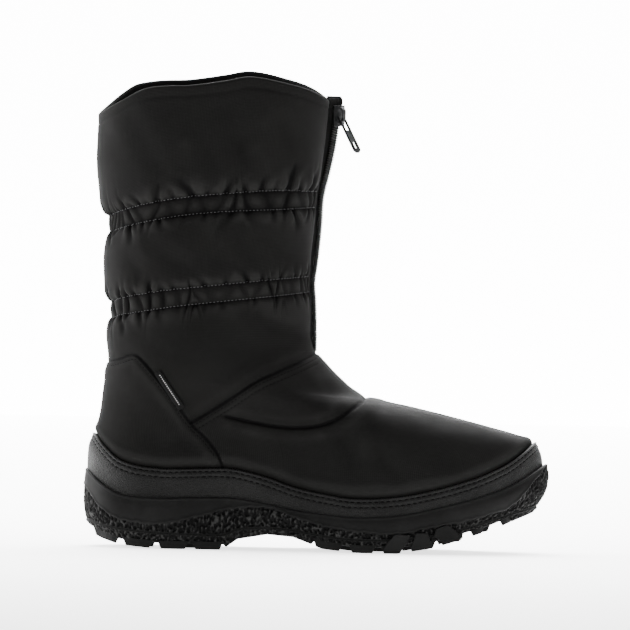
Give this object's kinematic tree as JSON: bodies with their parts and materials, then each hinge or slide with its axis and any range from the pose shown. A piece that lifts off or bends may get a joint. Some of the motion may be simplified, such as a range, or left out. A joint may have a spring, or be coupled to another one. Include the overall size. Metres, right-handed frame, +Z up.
{
  "type": "snow boot",
  "caption": "Mid-calf right snow boot with a padded fabric upper, a front zip with a hinged pull, gathered elastic bands, a grained rand and a lugged cup sole.",
  "frame": {"origin": "on the ground, under the middle of the boot's bounding box", "axes": "+X towards the toe, +Z up, -Y to the outer side of a right foot"},
  "size_m": [0.2866, 0.108, 0.2915],
  "materials": {
    "upper_fabric": "matte woven nylon",
    "rand_leather": "fine grain, satin",
    "midsole_rubber": "satin",
    "outsole_rubber": "matte",
    "insole_felt": "brushed felt",
    "zip_coil": "satin",
    "zip_tape": "woven tape",
    "label_ribbon": "woven ribbon",
    "gunmetal": "polished gunmetal"
  },
  "bodies": {
    "boot": {"upper": "upper_fabric", "rand": "rand_leather", "midsole": "midsole_rubber", "outsole": "outsole_rubber", "insole": "insole_felt", "zip_chain": "zip_coil", "zip_tape_outer": "zip_tape", "zip_tape_inner": "zip_tape", "label_tab": "label_ribbon", "zip_slider": "gunmetal"},
    "pull_tab": {"zip_pull": "gunmetal"}
  },
  "joints": [
    {"name": "pull_swing", "type": "hinge", "parent": "boot", "child": "pull_tab", "pos_m": [0.01112, -0.00361, 0.2663], "axis": [-0.7071, -0.7071, 0], "range_deg": [-40, 135]}
  ]
}
